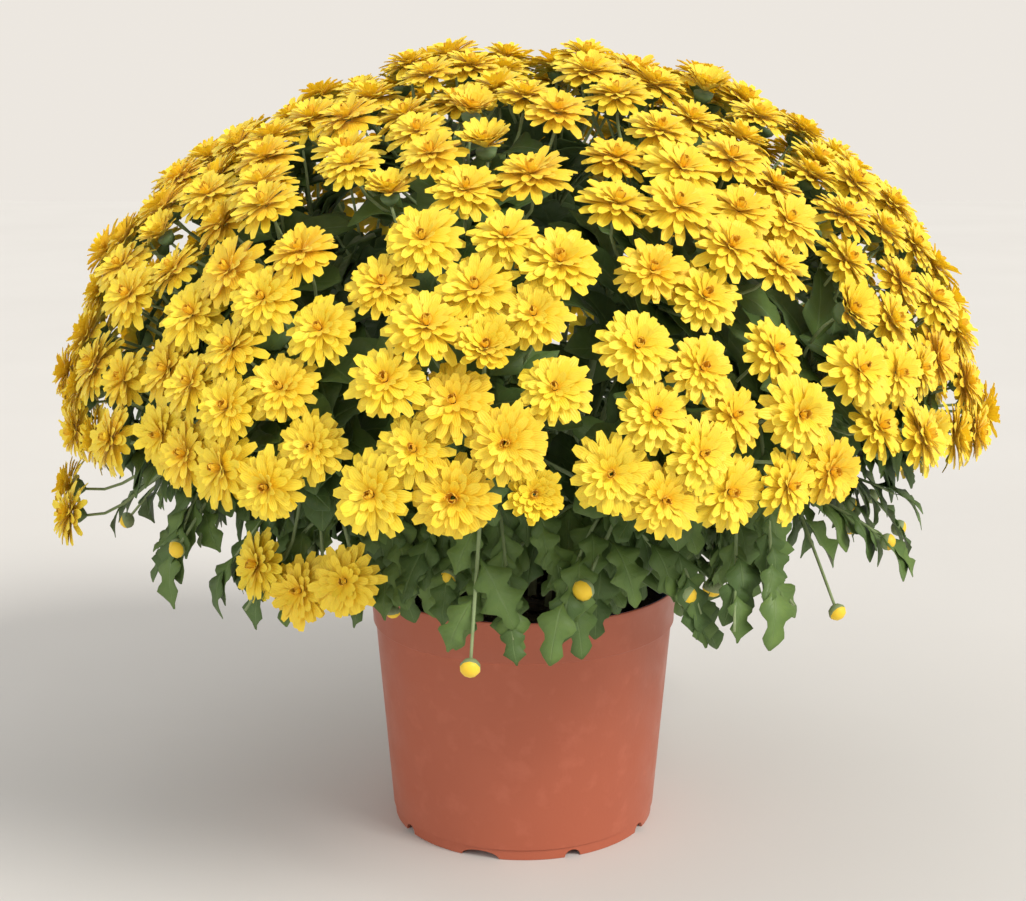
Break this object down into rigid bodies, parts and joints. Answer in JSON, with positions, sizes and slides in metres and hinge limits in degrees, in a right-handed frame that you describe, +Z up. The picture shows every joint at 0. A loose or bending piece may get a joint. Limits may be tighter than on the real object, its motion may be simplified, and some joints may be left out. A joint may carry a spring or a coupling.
{
  "type": "pot chrysanthemum",
  "caption": "Dome of small double yellow chrysanthemum blooms on branching leafy stems, rooted in a filled tapered plastic growing pot; stands on its own as a decoration.",
  "frame": {"origin": "on the pot's axis, on the plane that the pot's foot ring stands on", "axes": "+Z up along the pot's axis; -Y is the front that the picture shows; +X is to the right in the picture"},
  "size_m": [0.5957, 0.5966, 0.5185],
  "materials": {
    "pot": "satin terracotta outside; the looks file makes the inside blue",
    "potting_mix": "rough, crumbly",
    "greenery": "matt",
    "petals": "matt"
  },
  "bodies": {
    "root": {"pot": "pot", "potting_mix": "potting_mix", "shoot_01": "greenery", "shoot_02": "greenery", "shoot_03": "greenery", "shoot_04": "greenery", "shoot_05": "greenery", "shoot_06": "greenery", "shoot_07": "greenery", "shoot_08": "greenery", "shoot_09": "greenery", "shoot_10": "greenery", "shoot_11": "greenery", "shoot_12": "greenery", "shoot_13": "greenery", "shoot_14": "greenery", "shoot_15": "greenery", "shoot_16": "greenery", "shoot_17": "greenery", "shoot_18": "greenery", "shoot_19": "greenery", "shoot_20": "greenery", "shoot_21": "greenery", "shoot_22": "greenery", "shoot_23": "greenery", "shoot_24": "greenery", "shoot_25": "greenery", "blooms_01": "petals", "blooms_02": "petals", "blooms_03": "petals", "blooms_04": "petals", "blooms_05": "petals", "blooms_06": "petals", "blooms_07": "petals", "blooms_08": "petals", "blooms_09": "petals", "blooms_10": "petals", "blooms_11": "petals", "blooms_12": "petals", "blooms_13": "petals", "blooms_14": "petals", "blooms_15": "petals", "blooms_16": "petals", "blooms_17": "petals", "blooms_18": "petals", "blooms_19": "petals", "blooms_20": "petals", "blooms_21": "petals", "blooms_22": "petals", "blooms_23": "petals", "blooms_24": "petals", "blooms_25": "petals", "stray_blooms_1": "petals", "stray_blooms_2": "petals", "stray_blooms_3": "petals", "stray_blooms_4": "petals"}
  },
  "joints": []
}
